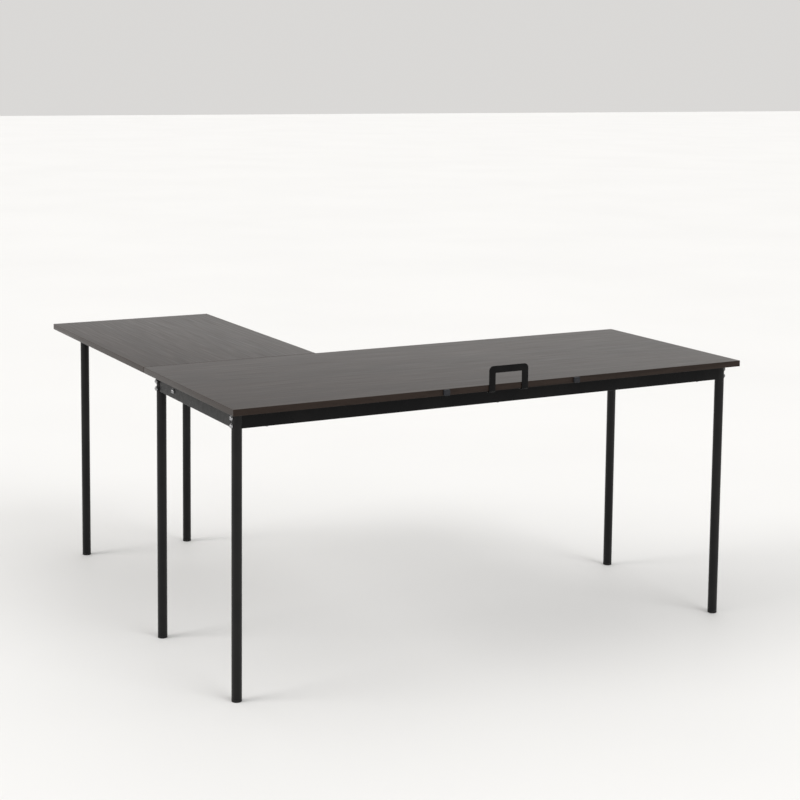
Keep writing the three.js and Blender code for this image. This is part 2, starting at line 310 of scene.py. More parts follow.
class Finish(Protocol):
    """Anything that can make a material."""

    def make(self) -> bpy.types.Material:
        """Makes the material."""


@functools.cache
def material_of(finish: Finish) -> bpy.types.Material:
    """The one material of a finish, made at the first call."""
    return finish.make()


@dataclass(frozen=True)
class WoodLaminate:
    """Printed wood-effect melamine with a fine pore texture pressed along the grain."""

    name: str
    grain: Axis
    dark: Colour = (0.0105, 0.0068, 0.0057)
    middle: Colour = (0.0225, 0.0155, 0.0131)
    light: Colour = (0.0345, 0.0249, 0.0213)
    worn: Colour = (0.07, 0.054, 0.046)
    gloss: Range = (0.31, 0.43)
    specular: float = 0.5
    pore_depth: float = 0.00007
    streak_depth_share: float = 0.6
    figure: Pattern = Pattern(5.0, 3.0, 0.45, 0.35, (0.16, 1.0, 1.0))
    streaks: Pattern = Pattern(150.0, 5.0, 0.62, 0.2, (0.03, 1.0, 1.0))
    pores: Pattern = Pattern(760.0, 2.0, 0.5, stretch=(0.045, 1.0, 1.0))
    figure_reads: Range = (0.35, 0.66)
    ring_count: float = 13.0
    ring_reads: Range = (0.45, 1.0)
    ring_shares: Range = (0.0, 0.5)
    streak_reads: Range = (0.45, 0.72)
    streak_shares: Range = (0.0, 0.75)
    pore_reads: Range = (0.55, 0.68)
    pore_shares: Range = (0.0, 0.8)
    wear_reach: float = 0.0012
    wear_reads: Range = (0.35, 0.65)
    wear_shares: Range = (0.1, 0.5)

    def make(self) -> bpy.types.Material:
        """Makes the material."""
        sheet = NodeSheet(self.name)
        turn = 0.0 if self.grain is Axis.X else math.radians(90.0)
        figure = sheet.noise(self.figure, turn)
        streaks = sheet.noise(self.streaks, turn)
        pores = sheet.noise(self.pores, turn)
        rings = sheet.contours(figure, self.ring_count)
        ground = sheet.blend(sheet.spread(figure, self.figure_reads), self.dark, self.middle)
        ringed = sheet.blend(sheet.spread(rings, self.ring_reads, self.ring_shares), ground, self.light)
        grained = sheet.blend(
            sheet.spread(streaks, self.streak_reads, self.streak_shares), ringed, self.light
        )
        pored = sheet.blend(sheet.spread(pores, self.pore_reads, self.pore_shares), grained, self.dark)
        rubbed = sheet.edges(self.wear_reach, sheet.spread(streaks, self.wear_reads, self.wear_shares))
        sheet.feed("Base Color", sheet.blend(rubbed, pored, self.worn))
        sheet.feed("Roughness", sheet.spread(streaks, NOISE_READS, self.gloss))
        sheet.set(ior=COATING_IOR, specular_ior_level=self.specular)
        sheet.bump((streaks, self.streak_depth_share * self.pore_depth), (pores, self.pore_depth))
        return sheet.material


@dataclass(frozen=True)
class PowderCoat:
    """Black satin powder coat: a fine orange-peel texture, a trace of dust and rubbed edges."""

    name: str = "black_powder_coat"
    body: Colour = (0.0022, 0.0022, 0.0025)
    dusty: Colour = (0.0062, 0.0060, 0.0060)
    rubbed: Colour = (0.045, 0.045, 0.047)
    gloss: Range = (0.25, 0.37)
    gloss_reads: Range = (0.32, 0.68)
    specular: float = 0.1
    clouds: Pattern = Pattern(11.0, 5.0, 0.6)
    cloud_reads: Range = (0.42, 0.72)
    scuffs: Pattern = Pattern(75.0, 4.0, 0.65)
    peel: Pattern = Pattern(620.0, 2.0, 0.5)
    peel_depth: float = 0.00009
    specks: Pattern = Pattern(2400.0, 1.0, 0.4)
    speck_depth_share: float = 0.25
    wear_reach: float = 0.0014
    wear_reads: Range = (0.42, 0.66)
    wear_shares: Range = (0.12, 0.9)

    def make(self) -> bpy.types.Material:
        """Makes the material."""
        sheet = NodeSheet(self.name)
        scuffs = sheet.noise(self.scuffs)
        dust = sheet.spread(sheet.noise(self.clouds), self.cloud_reads)
        dusted = sheet.blend(dust, self.body, self.dusty)
        rubbed = sheet.edges(self.wear_reach, sheet.spread(scuffs, self.wear_reads, self.wear_shares))
        sheet.feed("Base Color", sheet.blend(rubbed, dusted, self.rubbed))
        sheet.feed("Roughness", sheet.spread(scuffs, self.gloss_reads, self.gloss))
        sheet.set(ior=COATING_IOR, specular_ior_level=self.specular)
        speck_depth = self.speck_depth_share * self.peel_depth
        sheet.bump((sheet.noise(self.peel), self.peel_depth), (sheet.noise(self.specks), speck_depth))
        return sheet.material


@dataclass(frozen=True)
class ZincPlate:
    """Bright zinc-plated steel with fine turning lines and dull patches."""

    name: str = "zinc_plated_steel"
    bright: Colour = (0.46, 0.46, 0.47)
    dull: Colour = (0.24, 0.24, 0.25)
    gloss: Range = (0.2, 0.38)
    patches: Pattern = Pattern(260.0, 4.0, 0.6)
    patch_reads: Range = (0.42, 0.68)
    lines: Pattern = Pattern(3200.0, 2.0, 0.5, stretch=(1.0, 1.0, 0.2))
    line_depth: float = 0.000012

    def make(self) -> bpy.types.Material:
        """Makes the material."""
        sheet = NodeSheet(self.name)
        patches = sheet.noise(self.patches)
        sheet.feed("Base Color", sheet.blend(sheet.spread(patches, self.patch_reads), self.bright, self.dull))
        sheet.feed("Roughness", sheet.spread(patches, NOISE_READS, self.gloss))
        sheet.set(metallic=1.0)
        sheet.bump((sheet.noise(self.lines), self.line_depth))
        return sheet.material


@dataclass(frozen=True)
class MouldedPlastic:
    """Moulded plastic with a fine spark-eroded texture and slight shade changes."""

    name: str
    body: Colour
    worn: Colour
    gloss: Range = (0.42, 0.58)
    ior: float = 1.46
    specular: float = 0.3
    clouds: Pattern = Pattern(60.0, 3.0, 0.55)
    cloud_reads: Range = (0.38, 0.7)
    texture: Pattern = Pattern(1500.0, 3.0, 0.6)
    texture_depth: float = 0.00004

    def make(self) -> bpy.types.Material:
        """Makes the material."""
        sheet = NodeSheet(self.name)
        shade = sheet.spread(sheet.noise(self.clouds), self.cloud_reads)
        texture = sheet.noise(self.texture)
        sheet.feed("Base Color", sheet.blend(shade, self.body, self.worn))
        sheet.feed("Roughness", sheet.spread(texture, NOISE_READS, self.gloss))
        sheet.set(ior=self.ior, specular_ior_level=self.specular)
        sheet.bump((texture, self.texture_depth))
        return sheet.material


@dataclass(frozen=True)
class PaintedFloor:
    """A plain pale studio floor."""

    name: str = "pale_floor"
    body: Colour = (0.83, 0.83, 0.825)
    scuffed: Colour = (0.81, 0.81, 0.805)
    roughness: float = 0.55
    specular: float = 0.25
    clouds: Pattern = Pattern(0.7, 3.0, 0.5)
    cloud_reads: Range = (0.35, 0.7)

    def make(self) -> bpy.types.Material:
        """Makes the material."""
        sheet = NodeSheet(self.name)
        shade = sheet.spread(sheet.noise(self.clouds), self.cloud_reads)
        sheet.feed("Base Color", sheet.blend(shade, self.body, self.scuffed))
        sheet.set(roughness=self.roughness, specular_ior_level=self.specular)
        return sheet.material


POWDER_COAT = PowderCoat()
LEG_COAT = PowderCoat("black_powder_coat_on_legs", gloss=(0.28, 0.4), specular=0.24)
ZINC = ZincPlate()
FOOT_PLASTIC = MouldedPlastic("black_foot_plastic", (0.007, 0.007, 0.0075), (0.012, 0.012, 0.012))
BLOCK_PLASTIC = MouldedPlastic("grey_block_plastic", (0.012, 0.0125, 0.016), (0.018, 0.019, 0.023))
BOARD_GRAIN_X = WoodLaminate("board_laminate_along_x", Axis.X)
BOARD_GRAIN_Y = WoodLaminate("board_laminate_along_y", Axis.Y)
BAND_GRAIN_X = WoodLaminate(
    "edge_band_along_x",
    Axis.X,
    dark=(0.0135, 0.0085, 0.0064),
    middle=(0.0200, 0.0129, 0.0099),
    light=(0.0295, 0.0196, 0.0152),
    gloss=(0.36, 0.46),
    specular=0.12,
)
BAND_GRAIN_Y = replace(
    BAND_GRAIN_X, name="edge_band_along_y", grain=Axis.Y, gloss=(0.32, 0.42), specular=0.3
)


# ------------------------------------------------------------------ mesh kit


@dataclass
class MeshDraft:
    """A mesh in the making: its points, its faces and the finish that each face takes."""

    points: list[Vector] = field(default_factory=list)
    faces: list[tuple[int, ...]] = field(default_factory=list)
    finishes: list[int] = field(default_factory=list)

    def ring(self, points: Ring) -> range:
        """Adds the points of one ring, in order, and gives their indices."""
        self.points.extend(points)
        return range(len(self.points) - len(points), len(self.points))

    def face(self, corners: Iterable[int]) -> None:
        """Adds one face, from the indices of its corners in order, with the first finish."""
        self.faces.append(tuple(corners))
        self.finishes.append(0)

    def skin(self, first: Sequence[int], second: Sequence[int]) -> None:
        """Joins two rings of equal count by a band of four-sided faces.

        Args:
            first: one ring's indices.
            second: the other ring's indices.
        """
        count = len(first)
        for i in range(count):
            j = (i + 1) % count
            self.face((first[i], first[j], second[j], second[i]))

    def loft(self, rings: Sequence[Ring], closed: bool = False) -> None:
        """Skins a run of rings into one closed shell.

        Args:
            rings: the rings, all of one count.
            closed: true joins the last ring to the first, false caps both.
        """
        loops = [self.ring(ring) for ring in rings]
        for first, second in zip(loops, loops[1:]):
            self.skin(first, second)
        if closed:
            self.skin(loops[-1], loops[0])
        else:
            self.face(reversed(loops[0]))
            self.face(loops[-1])

    def moved(self, matrix: Matrix) -> "MeshDraft":
        """The same draft under a transform."""
        return MeshDraft([matrix @ p for p in self.points], list(self.faces), list(self.finishes))


def finished(
    draft: MeshDraft,
    name: str,
    finishes: Sequence[Finish],
    replaces: Sequence[str] = (),
    crease: float = 32.0,
) -> bpy.types.Object:
    """Turns a draft into a piece of the desk that rides on the desk's body.

    Args:
        draft: the mesh in the making.
        name: what the piece is called.
        finishes: the finishes that its faces number.
        replaces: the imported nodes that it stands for.
        crease: the angle, in degrees, over which an edge stays sharp.

    Returns:
        The piece.
    """
    mesh = bpy.data.meshes.new(name)
    mesh.from_pydata([tuple(p) for p in draft.points], [], draft.faces)
    for finish in finishes:
        mesh.materials.append(material_of(finish))
    mesh.polygons.foreach_set("material_index", draft.finishes)
    work = bmesh.new()
    work.from_mesh(mesh)
    bmesh.ops.recalc_face_normals(work, faces=work.faces)
    work.to_mesh(mesh)
    work.free()
    mesh.polygons.foreach_set("use_smooth", [True] * len(mesh.polygons))
    mesh.set_sharp_from_angle(angle=math.radians(crease))
    piece = bpy.data.objects.new(name, mesh)
    bpy.context.scene.collection.objects.link(piece)
    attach(piece, BODY)
    if replaces:
        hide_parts(*replaces)
    LOG.info("%s: %d faces, stands for %s", name, len(mesh.polygons), ", ".join(replaces) or "itself")
    return piece


def rounded_rectangle(
    width: float, height: float, radius: float, arc_steps: int, side_steps: tuple[int, int] = (1, 1)
) -> list[tuple[float, float]]:
    """The outline of a rectangle about the origin with round corners.

    Args:
        width: its first side.
        height: its second side.
        radius: the radius of its corners.
        arc_steps: how many steps each corner takes.
        side_steps: how many steps the sides along the width and the height take.

    Returns:
        Its points, counter-clockwise from the right side's lower end.
    """
    x, y = width / 2 - radius, height / 2 - radius
    outline: list[tuple[float, float]] = []
    for corner, (cx, cy) in enumerate(((x, -y), (x, y), (-x, y), (-x, -y))):
        start = (corner - 1) * math.pi / 2
        arc = [
            (cx + radius * math.cos(start + turn), cy + radius * math.sin(start + turn))
            for turn in (step * math.pi / 2 / arc_steps for step in range(arc_steps + 1))
        ]
        if outline:
            outline.extend(between(outline[-1], arc[0], side_steps[corner % 2]))
        outline.extend(arc)
    outline.extend(between(outline[-1], outline[0], side_steps[0]))
    return outline


def between(
    first: tuple[float, float], second: tuple[float, float], steps: int
) -> list[tuple[float, float]]:
    """The points that cut a straight line into equal steps, without its two ends."""
    run, rise = second[0] - first[0], second[1] - first[1]
    return [(first[0] + run * k / steps, first[1] + rise * k / steps) for k in range(1, steps)]


def polar_ring(radius: "float | Callable[[float], float]", height: float, count: int) -> Ring:
    """A ring about +Z.

    Args:
        radius: the radius, or the function that gives it at an angle.
        height: the ring's Z.
        count: how many points it has.

    Returns:
        Its points.
    """
    points = []
    for step in range(count):
        angle = 2 * math.pi * step / count
        reach = radius(angle) if callable(radius) else radius
        points.append(Vector((reach * math.cos(angle), reach * math.sin(angle), height)))
    return points


def turned(profile: Sequence[tuple[float, float]], count: int) -> list[Ring]:
    """Rings about +Z for a turned shape, from the radius and the height of each ring."""
    return [polar_ring(radius, height, count) for radius, height in profile]


def quarter_round(
    centre: tuple[float, float], radii: tuple[float, float], start: float, sweep: float, steps: int
) -> list[tuple[float, float]]:
    """Points on a part of an ellipse, ends included, with the start and the sweep in degrees."""
    angles = [math.radians(start + sweep * step / steps) for step in range(steps + 1)]
    return [(centre[0] + radii[0] * math.cos(a), centre[1] + radii[1] * math.sin(a)) for a in angles]


def eased_sides(height: float, ease: float, steps: int = 4) -> list[tuple[float, float]]:
    """The side of a slab with round long edges.

    Args:
        height: the slab's thickness.
        ease: the radius of its edges.
        steps: how many steps each edge takes.

    Returns:
        How far in and how high each outline lies, from the bottom up.
    """
    lower = quarter_round((ease, ease), (ease, ease), 270.0, -90.0, steps)
    upper = quarter_round((ease, height - ease), (ease, ease), 180.0, -90.0, steps)
    return lower + upper


def slab(centre: Vector, size: Vector, radius: float, ease: float, arc_steps: int) -> MeshDraft:
    """A flat slab with round corners and eased long edges.

    Args:
        centre: the middle of its lower face.
        size: its width along X, depth along Y and thickness.
        radius: the radius of its corners in plan.
        ease: the radius of its long edges.
        arc_steps: how many steps each corner takes.

    Returns:
        The draft.
    """
    rings = []
    for inset, height in eased_sides(size.z, ease):
        corner = max(radius - inset, LEAST_CORNER_SHARE * radius)
        outline = rounded_rectangle(size.x - 2 * inset, size.y - 2 * inset, corner, arc_steps)
        rings.append([centre + Vector((x, y, height)) for x, y in outline])
    draft = MeshDraft()
    draft.loft(rings)
    return draft


def bead(path: Sequence[Vector], radius: float, ripple: float, seed: int) -> MeshDraft:
    """A weld bead: a rippled round string along a path, with tapered ends.

    Args:
        path: the points that its middle follows.
        radius: its mean radius.
        ripple: how much the radius rises and falls.
        seed: what the ripples' chance is drawn from.

    Returns:
        The draft.
    """
    chance = random.Random(seed)
    angles = [2 * math.pi * k / BEAD_SIDES for k in range(BEAD_SIDES)]
    rings = []
    last = len(path) - 1
    side = (path[1] - path[0]).normalized().orthogonal()
    for index, point in enumerate(path):
        tangent = (path[min(index + 1, last)] - path[max(index - 1, 0)]).normalized()
        side = (side - side.dot(tangent) * tangent).normalized()
        lift = tangent.cross(side)
        taper = BEAD_END_SHARE if index in (0, last) else 1.0
        uneven = ripple * math.sin(BEAD_WAVE * index) + chance.uniform(-BEAD_CHANCE, BEAD_CHANCE) * ripple
        reach = taper * (radius + uneven)
        rings.append([point + reach * (math.cos(a) * side + math.sin(a) * lift) for a in angles])
    draft = MeshDraft()
    draft.loft(rings)
    return draft


@functools.cache
def box_of(node: str) -> tuple[Vector, Vector]:
    """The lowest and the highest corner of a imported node's box, measured once."""
    low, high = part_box(node)
    return low.freeze(), high.freeze()


def centre_of(node: str) -> Vector:
    """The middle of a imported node's box."""
    low, high = box_of(node)
    return (low + high) / 2


def size_of(node: str) -> Vector:
    """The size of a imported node's box along each axis."""
    low, high = box_of(node)
    return high - low


def underside_of(node: str) -> Vector:
    """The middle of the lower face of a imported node's box."""
    low, high = box_of(node)
    return Vector(((low.x + high.x) / 2, (low.y + high.y) / 2, low.z))


# ------------------------------------------------------------------ tops


@dataclass
class BandedTop:
    """One top: a laminate board inside a glued edge band."""

    node: str
    board_finish: Finish
    band_finishes: tuple[Finish, Finish]
    band_thickness: float = 0.001
    glue_line: float = 0.00012
    band_drop: float = 0.00006
    corner_radius: float = 0.002
    least_corner_share: float = 0.2
    board_ease: float = 0.00015
    band_ease: float = 0.0008

    def build(self) -> None:
        """Builds the board and the band round it."""
        self.board()
        self.band()

    def board(self) -> None:
        """Builds the board, which the band hides the sides of."""
        inset = self.band_thickness + self.glue_line
        size = size_of(self.node) - Vector((2 * inset, 2 * inset, 0.0))
        draft = slab(underside_of(self.node), size, self.corner_radius / 2, self.board_ease, arc_steps=3)
        finished(draft, f"{self.node}_board", [self.board_finish], [self.node])

    def band(self) -> None:
        """Builds the edge band, its grain along the edge on every side."""
        low, high = box_of(self.node)
        middle = centre_of(self.node)
        width, depth = high.x - low.x, high.y - low.y
        height = high.z - low.z - 2 * self.band_drop
        base = low.z + self.band_drop
        inner = self.band_thickness
        rings = []
        for inset, rise in (*eased_sides(height, self.band_ease, 5), (inner, height), (inner, 0.0)):
            corner = max(self.corner_radius - inset, self.least_corner_share * self.corner_radius)
            outline = rounded_rectangle(width - 2 * inset, depth - 2 * inset, corner, 6)
            rings.append([Vector((middle.x + x, middle.y + y, base + rise)) for x, y in outline])
        draft = MeshDraft()
        draft.loft(rings, closed=True)
        for number, face in enumerate(draft.faces):
            corners = [draft.points[i] for i in face]
            run_x = max(p.x for p in corners) - min(p.x for p in corners)
            run_y = max(p.y for p in corners) - min(p.y for p in corners)
            draft.finishes[number] = 0 if run_x >= run_y else 1
        finished(draft, f"{self.node}_edge_band", self.band_finishes, crease=50.0)


# ------------------------------------------------------------------ tube work


@dataclass
class RoundLeg:
    """A round tube leg with its push-in foot."""

    node: str
    foot_node: str
    wall: float = 0.0015
    end_ease: float = 0.0004
    sides: int = 72
    flange_height: float = 0.006
    flange_ease: float = 0.0012
    plug_wall: float = 0.002
    plug_lead: float = 0.001
    cap_share: float = 0.35
    groove_shares: tuple[float, ...] = (0.62, 0.66, 0.74, 0.78)
    groove_depth: float = 0.0002
    rib_count: int = 4
    rib_height: float = 0.00025
    rib_start_share: float = 0.6
    rib_crest_share: float = 0.25
    rib_length_share: float = 0.4

    def build(self) -> None:
        """Builds the tube and the foot."""
        self.tube()
        self.foot()

    def tube(self) -> None:
        """Builds the tube, open at both ends."""
        low, high = box_of(self.node)
        outer = (high.x - low.x) / 2
        inner = outer - self.wall
        length = high.z - low.z
        ease = self.end_ease
        profile = [
            (inner, ease),
            *quarter_round((outer - ease, ease), (ease, ease), 270.0, 90.0, 3),
            *quarter_round((outer - ease, length - ease), (ease, ease), 0.0, 90.0, 3),
            (inner, length - ease),
        ]
        draft = MeshDraft()
        draft.loft(turned(profile, self.sides), closed=True)
        placed = draft.moved(Matrix.Translation(underside_of(self.node)))
        finished(placed, f"{self.node}_tube", [LEG_COAT], [self.node])

    def foot(self) -> None:
        """Builds the foot: a round-edged flange under the tube and a ribbed plug in it."""
        low, high = box_of(self.foot_node)
        outer = (high.x - low.x) / 2
        plug = outer - self.wall - FIT_GAP
        hollow = plug - self.plug_wall
        flange, ease, groove = self.flange_height, self.flange_ease, self.groove_depth
        top = high.z - low.z
        rib_pitch = (top - flange) / (self.rib_count + 1)
        ribs = []
        for rib in range(self.rib_count):
            z = flange + (rib + self.rib_start_share) * rib_pitch
            ribs += [
                (plug - self.rib_height, z),
                (plug, z + self.rib_crest_share * rib_pitch),
                (plug - self.rib_height, z + self.rib_length_share * rib_pitch),
            ]
        groove_from, floor_from, floor_to, groove_to = (share * flange for share in self.groove_shares)
        profile = [
            (self.cap_share * outer, 0.0),
            *quarter_round((outer - ease, ease), (ease, ease), 270.0, 90.0, 6),
            (outer, groove_from),
            (outer - groove, floor_from),
            (outer - groove, floor_to),
            (outer, groove_to),
            (outer, flange - groove),
            (outer - groove, flange),
            (plug, flange),
            *ribs,
            (plug - self.plug_lead, top),
            (hollow, top),
            (hollow, flange),
            (self.cap_share * hollow, flange),
        ]
        draft = MeshDraft()
        draft.loft(turned(profile, self.sides))
        placed = draft.moved(Matrix.Translation(underside_of(self.foot_node)))
        finished(placed, f"{self.foot_node}_moulding", [FOOT_PLASTIC], [self.foot_node])


@dataclass
class CopedRail:
    """A rectangular tube rail, hollowed at both ends to sit round the two legs it joins."""

    node: str
    run: Axis
    leg_nodes: tuple[str, str]
    setback: float = 0.0
    wall: float = 0.0015
    corner_radius: float = 0.002
    corner_wall_share: float = 0.8
    face_steps: int = 16

    def build(self) -> None:
        """Builds the rail."""
        size = size_of(self.node)
        width = min(size.x, size.y)
        steps = (self.face_steps, 1)
        outer = rounded_rectangle(width, size.z, self.corner_radius, 5, steps)
        inner = rounded_rectangle(
            width - 2 * self.wall,
            size.z - 2 * self.wall,
            self.corner_radius - self.corner_wall_share * self.wall,
            5,
            steps,
        )
        ends = ((0, outer), (1, outer), (1, inner), (0, inner))
        rings = [[self.end_point(end, x, z) for x, z in outline] for end, outline in ends]
        draft = MeshDraft()
        draft.loft(rings, closed=True)
        finished(draft, f"{self.node}_tube", [POWDER_COAT], [self.node])

    def end_point(self, end: int, offset: float, height: float) -> Vector:
        """A point of the rail's end, on the hollow that clears the leg.

        Args:
            end: 0 for the end at the first leg, 1 for the end at the second.
            offset: how far to the side of the rail's middle line it lies.
            height: how far above that line it lies.

        Returns:
            The point.
        """
        leg = centre_of(self.leg_nodes[end])
        reach = size_of(self.leg_nodes[end]).x / 2 + FIT_GAP
        hollow = math.sqrt(max(reach * reach - offset * offset, 0.0))
        inward = self.run.forward * (1.0 if end == 0 else -1.0)
        base = Vector((leg.x, leg.y, centre_of(self.node).z))
        lift = Vector((0.0, 0.0, height))
        return base + inward * max(hollow, self.setback) + self.run.across * offset + lift


@dataclass
class RailWeld:
    """The weld that joins a short rail's end to its leg, down its outer side and under it."""

    rail: CopedRail
    end: int
    radius: float = 0.0015
    ripple: float = 0.00018
    step: float = 0.001
    under_share: float = 1.55
    seed: int = 11

    def build(self) -> None:
        """Builds the bead."""
        size = size_of(self.rail.node)
        half_width, half_height = min(size.x, size.y) / 2, size.z / 2
        outward = centre_of(self.rail.node) - centre_of("main_top")
        side = 1.0 if self.rail.run.across.dot(outward) > 0 else -1.0
        drop = half_height - (self.radius + FIT_GAP)
        downs = [drop - k * self.step for k in range(int(2 * drop / self.step) + 1)]
        path = [self.rail.end_point(self.end, side * half_width, z) for z in downs]
        across = int(self.under_share * half_width / self.step)
        path += [
            self.rail.end_point(self.end, side * (half_width - k * self.step), -half_height)
            for k in range(1, across)
        ]
        draft = bead(path, self.radius, self.ripple, self.seed + self.end)
        name = f"{self.rail.node}_weld_{('rear', 'front')[self.end]}"
        finished(draft, name, [POWDER_COAT], crease=80.0)


# ------------------------------------------------------------------ fasteners


def hexagon(flat: float) -> Callable[[float], float]:
    """The radius of a hexagon at an angle, from the distance between its middle and a flat."""
    sector = math.pi / 3
    return lambda angle: flat / math.cos((angle % sector) - sector / 2)


def cross(arm: float, half_width: float) -> Callable[[float], float]:
    """The radius of a cross at an angle.

    Args:
        arm: the length of each arm from the middle.
        half_width: half the width of an arm.

    Returns:
        The function.
    """

    def radius(angle: float) -> float:
        """The radius at an angle in radians."""
        lean = abs((angle + math.pi / 4) % (math.pi / 2) - math.pi / 4)
        along = arm / math.cos(lean)
        beside = half_width / max(math.sin(lean), 1e-6)
        return min(along, beside)

    return radius


@dataclass(frozen=True)
class Fastener:
    """A bolt or screw: a domed head below z = 0, its drive sunk into it, and a threaded shank.

    The crown and the drive's outline are shares of the head's radius. The drive's depths are shares
    of the head's height, and its floor, middle, wall and mouth are shares of its own outline. The
    tip is in shank radii, the thread's start and rise are in pitches, and the flange's rounding is a
    share of its height.
    """

    recess: Recess
    head_radius: float
    head_height: float
    shank_radius: float
    pitch: float
    thread_depth: float
    flange_radius: float = 0.0
    flange_height: float = 0.0
    flange_ease_share: float = 0.25
    crown_share: float = 0.62
    hexagon_share: float = 0.38
    cross_arm_share: float = 0.52
    cross_width_share: float = 0.14
    drive_depth_share: float = 0.55
    drive_floor_share: float = 0.97
    drive_middle_share: float = 0.4
    drive_wall_share: float = 0.99
    drive_mouth_share: float = 1.07
    mouth_depth_share: float = 0.08
    tip_length_share: float = 0.5
    tip_end_share: float = 0.6
    neck: float = 0.001
    longest_thread: float = 0.018
    thread_runout: float = 0.0003
    thread_start_share: float = 0.35
    thread_rise_share: float = 0.3
    sides: int = 48

    def build_for(self, node: str, pointing: Vector = UP) -> None:
        """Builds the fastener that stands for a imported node.

        Args:
            node: the node.
            pointing: the way its tip points.
        """
        low, high = box_of(node)
        length = abs((high - low).dot(pointing))
        foot = centre_of(node) - pointing * (length / 2)
        total_head = self.head_height + self.flange_height
        seat = foot + pointing * total_head
        self.build_at(seat, pointing, length - total_head, f"{node}_turned", [node])

    def build_at(
        self, seat: Vector, pointing: Vector, length: float, name: str, replaces: Sequence[str] = ()
    ) -> None:
        """Builds the fastener at a place.

        Args:
            seat: the point under the middle of its head.
            pointing: the way its tip points.
            length: how long its shank is.
            name: what the piece is called.
            replaces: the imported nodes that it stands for.
        """
        draft = MeshDraft()
        draft.loft([*self.recess_rings(), *self.head_rings(), *self.shank_rings(length)])
        turn = UP.rotation_difference(pointing).to_matrix().to_4x4()
        placed = draft.moved(Matrix.Translation(seat) @ turn)
        finished(placed, name, [ZINC], replaces, crease=38.0)

    def drive(self, share: float) -> Callable[[float], float]:
        """The drive's outline.

        Args:
            share: how large it is against its size at the mouth.

        Returns:
            The function that gives its radius at an angle.
        """
        if self.recess is Recess.HEXAGON:
            return hexagon(self.hexagon_share * self.head_radius * share)
        return cross(
            self.cross_arm_share * self.head_radius * share,
            self.cross_width_share * self.head_radius * share,
        )

    def recess_rings(self) -> list[Ring]:
        """The rings of the sunk drive, from its floor to its mouth."""
        crown = -self.flange_height - self.head_height
        floor = crown + self.drive_depth_share * self.head_height
        outlines = (
            (self.drive_floor_share * self.drive_middle_share, floor),
            (self.drive_floor_share, floor),
            (self.drive_wall_share, crown + self.mouth_depth_share * self.head_height),
            (self.drive_mouth_share, crown),
        )
        return [polar_ring(self.drive(share), height, self.sides) for share, height in outlines]

    def head_rings(self) -> list[Ring]:
        """The rings of the dome and, where there is one, its flange."""
        crown_radius = self.crown_share * self.head_radius
        middle = (crown_radius, -self.flange_height)
        profile = quarter_round(middle, (self.head_radius - crown_radius, self.head_height), 270.0, 90.0, 8)
        if self.flange_radius:
            ease = self.flange_ease_share * self.flange_height
            rim = (self.flange_radius - ease, -self.flange_height + ease)
            profile += quarter_round(rim, (ease, ease), 270.0, 90.0, 3)
            profile += [(self.flange_radius, -ease), (self.flange_radius - ease, 0.0)]
        return turned(profile, self.sides)

    def shank_rings(self, length: float) -> list[Ring]:
        """The rings of the shank with its thread.

        Args:
            length: how long the shank is.

        Returns:
            The rings, from the head to the tip.
        """
        tip = self.tip_length_share * self.shank_radius
        threaded = min(length - tip - self.neck, self.longest_thread)
        start = length - tip - threaded
        crest, root = self.shank_radius, self.shank_radius - self.thread_depth
        rise = self.thread_rise_share * self.pitch
        profile = [(crest, 0.0), (crest, start), (root, start + self.thread_runout)]
        for turn in range(int(threaded / self.pitch)):
            z = start + (turn + self.thread_start_share) * self.pitch
            profile += [(root, z), (crest, z + rise), (root, z + 2 * rise)]
        profile.append((self.tip_end_share * self.shank_radius, length))
        return turned(profile, self.sides)


RAIL_BOLT = Fastener(
    Recess.HEXAGON,
    head_radius=0.0055,
    head_height=0.0033,
    shank_radius=0.003,
    pitch=0.001,
    thread_depth=0.0004,
    flange_radius=0.0065,
    flange_height=0.0012,
)
WOOD_SCREW = Fastener(
    Recess.CROSS,
    head_radius=0.004,
    head_height=0.0024,
    shank_radius=0.002,
    pitch=0.0016,
    thread_depth=0.00055,
    drive_floor_share=0.6,
    tip_length_share=3.0,
    tip_end_share=0.08,
)


# ------------------------------------------------------------------ plates and fittings


@dataclass
class SteelPlate:
    """A flat pressed plate under a top."""

    node: str
    corner_radius: float = 0.006
    ease: float = 0.0005

    def build(self) -> None:
        """Builds the plate."""
        place = underside_of(self.node)
        draft = slab(place, size_of(self.node), self.corner_radius, self.ease, arc_steps=8)
        finished(draft, f"{self.node}_pressing", [POWDER_COAT], [self.node])


@dataclass
class PlateWeld:
    """The ring of weld between a leg and the plate on it."""

    leg_node: str
    plate_node: str
    radius: float = 0.0016
    ripple: float = 0.0002
    clear_share: float = 0.3
    drop_share: float = 0.55
    steps: int = 96

    def build(self) -> None:
        """Builds the ring."""
        leg = centre_of(self.leg_node)
        reach = size_of(self.leg_node).x / 2 + self.clear_share * self.radius
        height = box_of(self.plate_node)[0].z - self.drop_share * self.radius
        chance = random.Random(self.steps)
        leans = [2 * math.pi * side / BEAD_SIDES for side in range(BEAD_SIDES)]
        loops: list[Ring] = [[] for _ in leans]
        for step in range(self.steps):
            angle = 2 * math.pi * step / self.steps
            uneven = math.sin(step * math.pi / 2) + chance.uniform(-BEAD_CHANCE, BEAD_CHANCE)
            swell = self.radius + self.ripple * uneven
            for loop, lean in zip(loops, leans):
                far = reach + swell * math.cos(lean)
                rise = height + swell * math.sin(lean)
                loop.append(Vector((leg.x + far * math.cos(angle), leg.y + far * math.sin(angle), rise)))
        draft = MeshDraft()
        draft.loft(loops, closed=True)
        finished(draft, f"{self.plate_node}_weld", [POWDER_COAT], crease=80.0)


@dataclass
class Station:
    """One section of the bracket's bar: its two edges and the way its outer face looks."""

    inner: Vector
    outer: Vector
    outward: Vector


